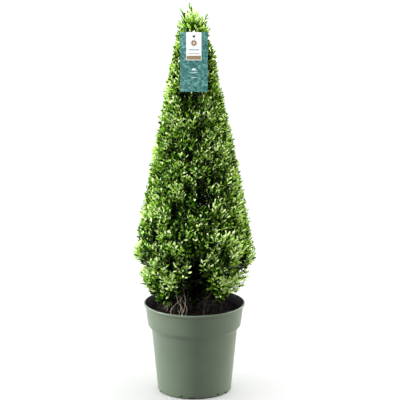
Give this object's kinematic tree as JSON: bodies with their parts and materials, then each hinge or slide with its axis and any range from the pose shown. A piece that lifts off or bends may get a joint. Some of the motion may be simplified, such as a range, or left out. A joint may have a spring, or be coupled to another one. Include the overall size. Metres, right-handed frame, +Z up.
{
  "type": "potted japanese holly pyramid",
  "caption": "Small-leaved evergreen shrub clipped to a slim pyramid with a loose tip, in a round tapered nursery pot with a deep rim band and hang labels.",
  "frame": {"origin": "middle of the pot's flat underside, at floor level", "axes": "+Z up along the leader to the tip; the hang labels face -Y; +X to the right seen from the labels' side"},
  "size_m": [0.3006, 0.3033, 0.9985],
  "materials": {
    "pot_plastic": "satin sage-green moulded plastic, black inside",
    "compost": "dark moist potting compost with bark bits",
    "bark": "grey-brown bark, finely ridged",
    "foliage": "small glossy leaves, bright green new growth over darker old leaves",
    "label_card": "coated mottled teal card",
    "label_tag": "coated white card with an orange foot band",
    "label_tie": "thin pale plastic tie"
  },
  "bodies": {
    "root": {"pot": "pot_plastic", "compost": "compost", "leader": "bark", "side_stem_left_outer": "bark", "side_stem_left_mid": "bark", "side_stem_left_upright": "bark", "side_stem_front_left": "bark", "side_stem_front_right": "bark", "side_stem_right_front": "bark", "side_stem_right": "bark", "side_stem_back_right": "bark", "side_stem_back": "bark", "side_stem_back_left": "bark", "side_stem_left_back": "bark", "skirt_front_left": "foliage", "skirt_front_right": "foliage", "skirt_back_right": "foliage", "skirt_back_left": "foliage", "lower_front": "foliage", "lower_right": "foliage", "lower_back": "foliage", "lower_left": "foliage", "middle_front": "foliage", "middle_back_right": "foliage", "middle_back_left": "foliage", "upper_front": "foliage", "upper_back": "foliage", "tip_tuft": "foliage", "label_card": "label_card", "label_tag": "label_tag", "label_tie": "label_tie"}
  },
  "joints": []
}
